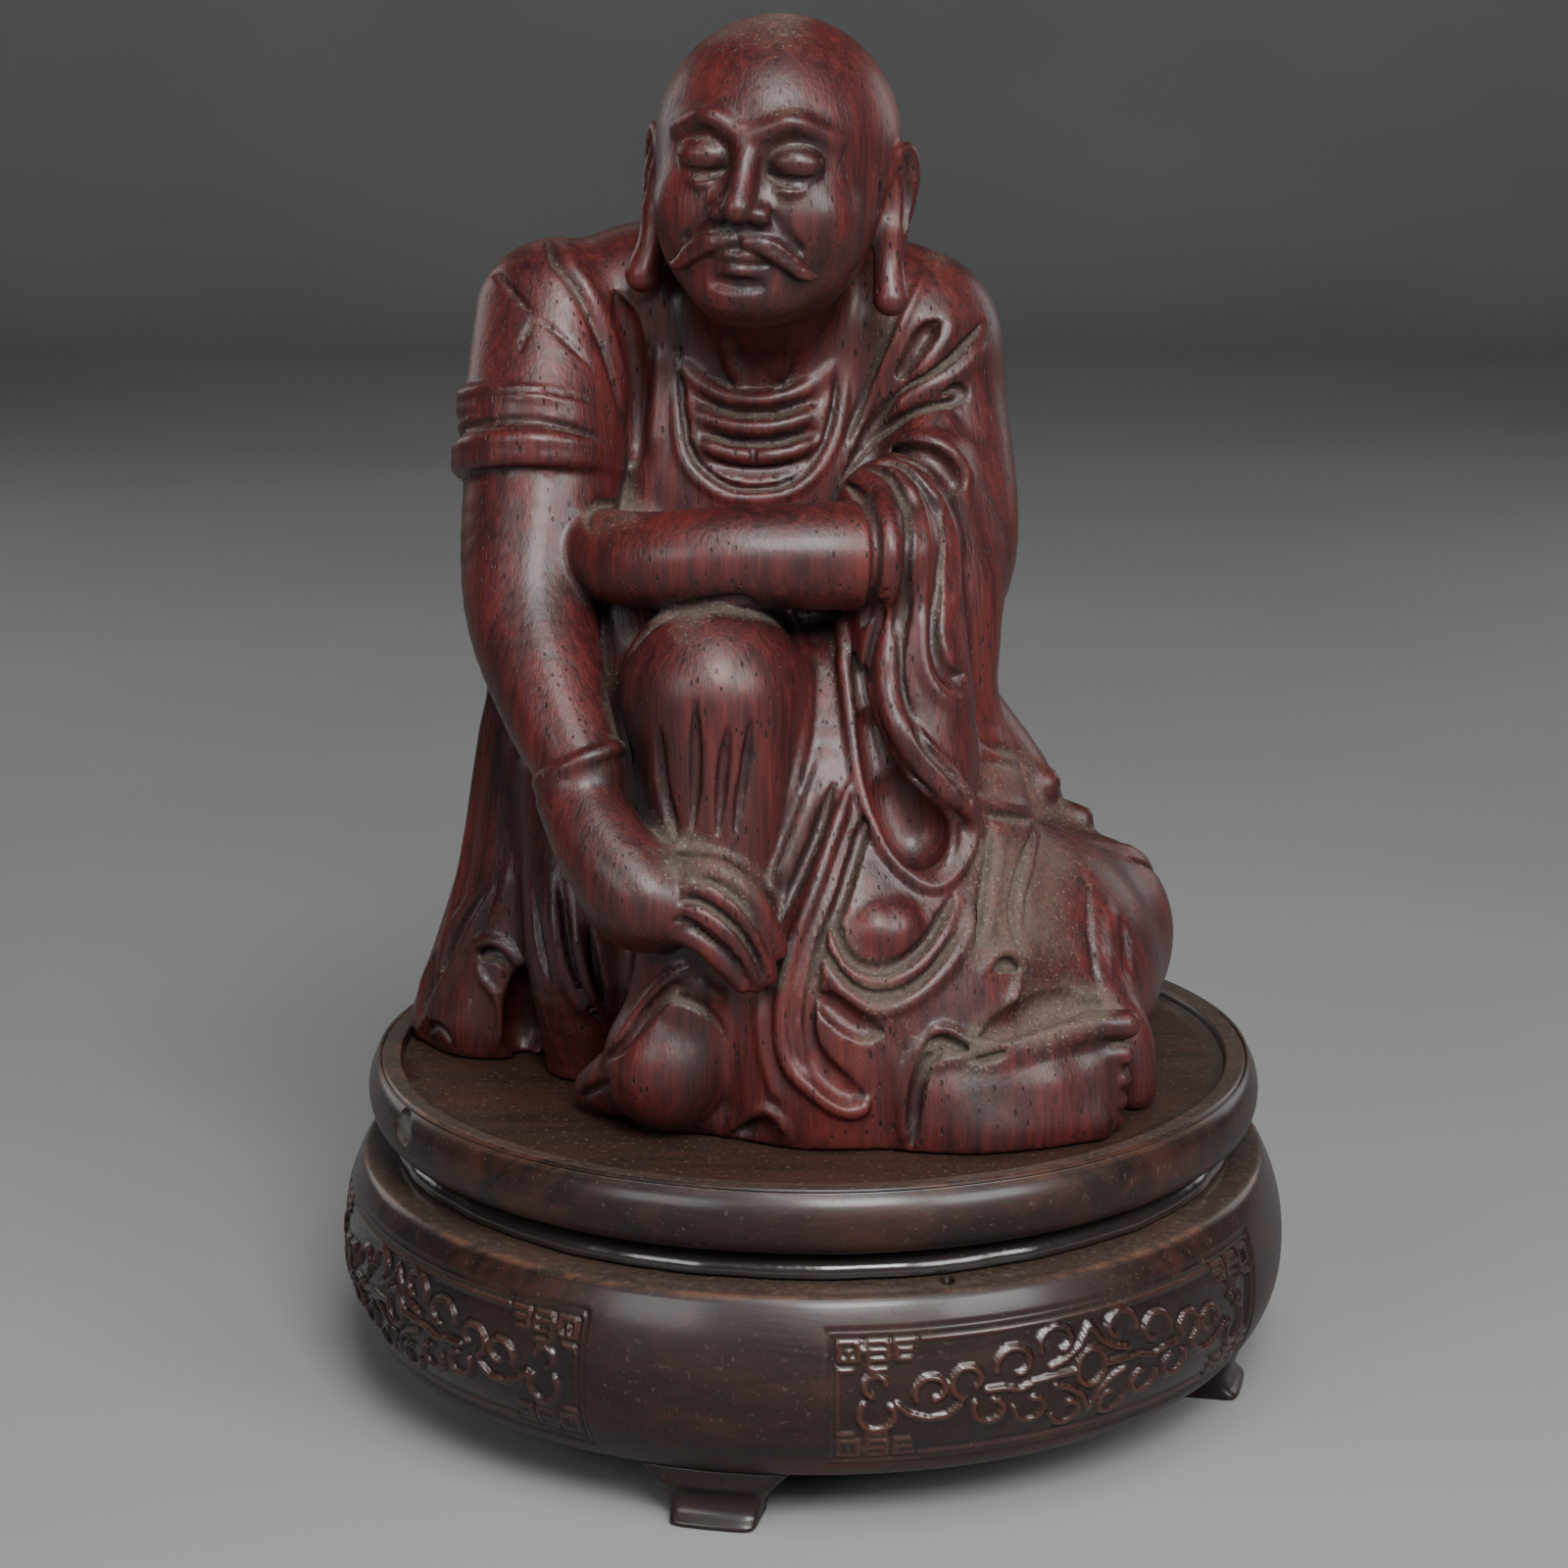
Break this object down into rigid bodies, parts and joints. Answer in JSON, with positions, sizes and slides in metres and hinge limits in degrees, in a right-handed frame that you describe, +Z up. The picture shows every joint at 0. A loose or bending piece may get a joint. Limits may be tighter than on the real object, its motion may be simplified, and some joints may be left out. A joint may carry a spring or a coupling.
{
  "type": "seated arhat figure",
  "caption": "Carved rosewood seated arhat clasping a raised knee, on a round turned wooden stand with a rim, a lacquered neck, carved panels and bracket feet",
  "frame": {"origin": "centre of the feet's footprint on the ground, below the stand's axis", "axes": "+Z up along the stand's axis and the object's height, -Y the way the figure faces, +X to the figure's left"},
  "size_m": [0.1142, 0.1142, 0.162],
  "materials": {
    "rosewood": "deep red-brown polished rosewood, satin gloss, fine pores and grey-beige dust in the hollows",
    "stand_wood": "dark brown stained hardwood, satin, with glossy varnished panels",
    "black_lacquer": "black high-gloss lacquer over wood"
  },
  "bodies": {
    "root": {"arhat_figure": "rosewood", "stand_top": "stand_wood", "stand_neck": "black_lacquer", "stand_drum": "stand_wood", "stand_foot_front": "stand_wood", "stand_foot_right": "stand_wood", "stand_foot_back": "stand_wood", "stand_foot_left": "stand_wood"}
  },
  "joints": []
}
